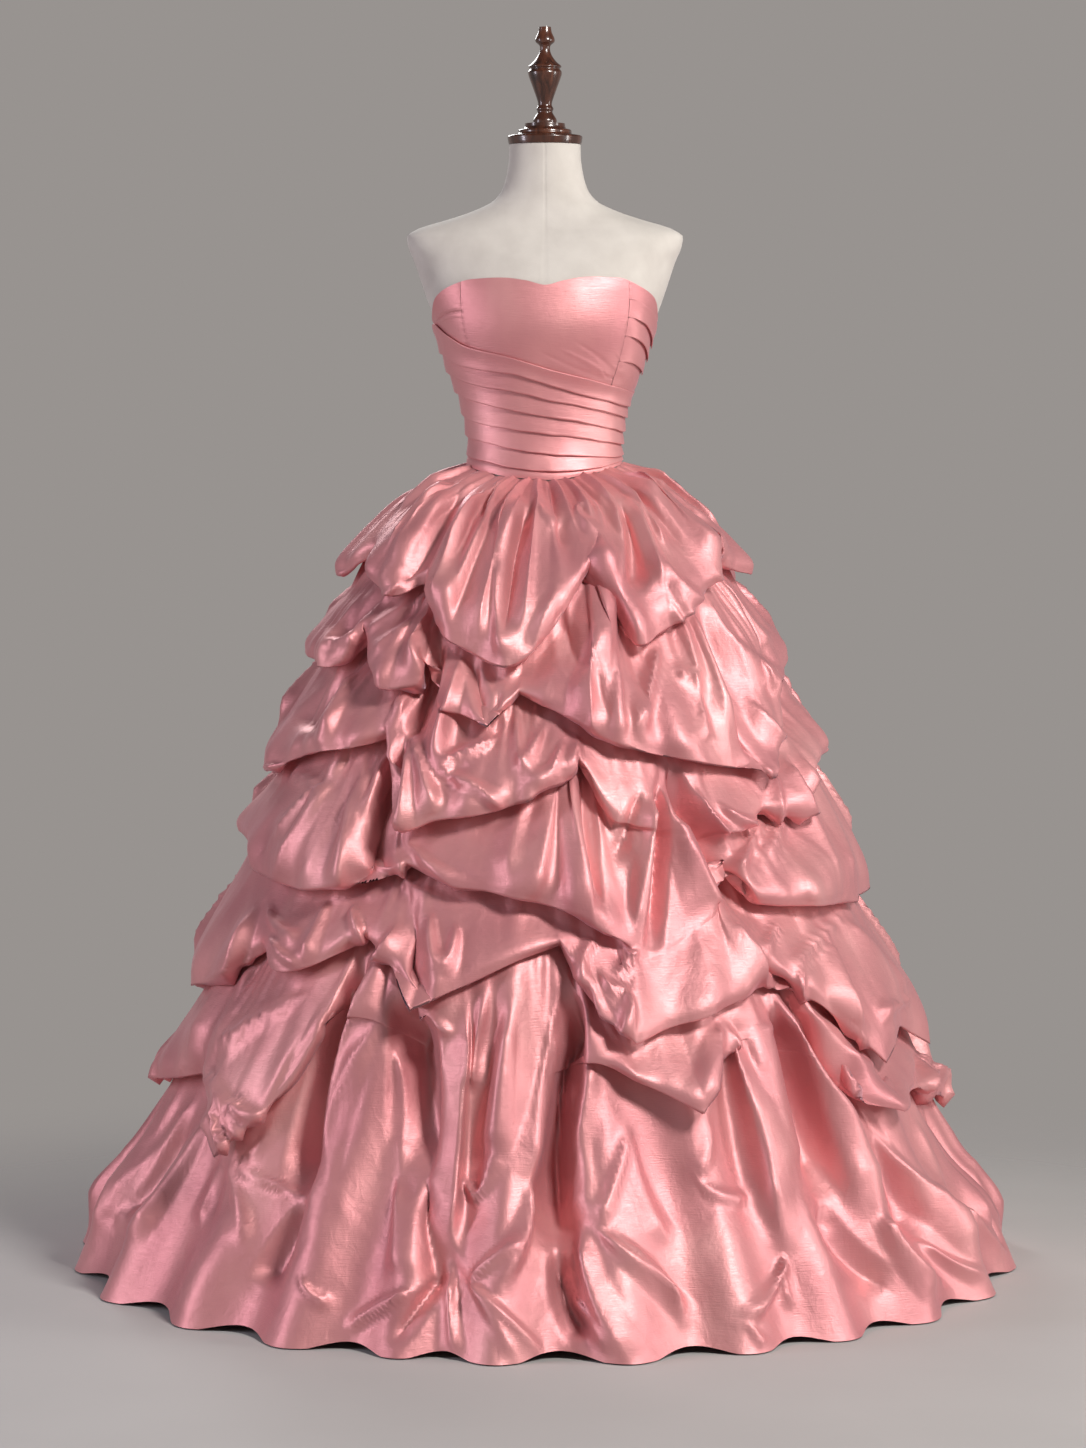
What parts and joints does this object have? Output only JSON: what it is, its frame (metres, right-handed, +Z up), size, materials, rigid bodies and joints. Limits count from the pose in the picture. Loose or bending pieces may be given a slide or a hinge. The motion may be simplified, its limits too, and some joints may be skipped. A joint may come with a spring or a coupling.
{
  "type": "ball gown on a limbless dress form",
  "caption": "Strapless floor-length ball gown with a pleated bodice and a picked-up skirt, worn by a limbless dress form with a turned wooden cap.",
  "frame": {"origin": "centre of the stand base's underside, on the floor, on the form's upright axis", "axes": "+Z up, front of the gown faces -Y, +X is the right-hand side as seen from the front"},
  "size_m": [1.314, 1.3189, 1.708],
  "materials": {
    "taffeta": "crisp rose taffeta with a soft lustre",
    "linen": "matte cream linen cover",
    "dark_wood": "dark varnished turned wood",
    "black_metal": "satin black paint"
  },
  "bodies": {
    "root": {"bodice_front": "taffeta", "bodice_side_front_right": "taffeta", "bodice_back_right": "taffeta", "bodice_back_left": "taffeta", "bodice_side_front_left": "taffeta", "bodice_drape_front": "taffeta", "bodice_drape_back_right": "taffeta", "bodice_drape_back_left": "taffeta", "bodice_drape_side_right": "taffeta", "skirt_gore_front": "taffeta", "skirt_gore_side_front_right": "taffeta", "skirt_gore_side_back_right": "taffeta", "skirt_gore_back_right": "taffeta", "skirt_gore_back_left": "taffeta", "skirt_gore_side_back_left": "taffeta", "skirt_gore_side_front_left": "taffeta", "form_torso": "linen", "form_neck_cap": "dark_wood", "form_finial": "dark_wood", "form_base": "dark_wood", "form_pole": "black_metal"}
  },
  "joints": []
}
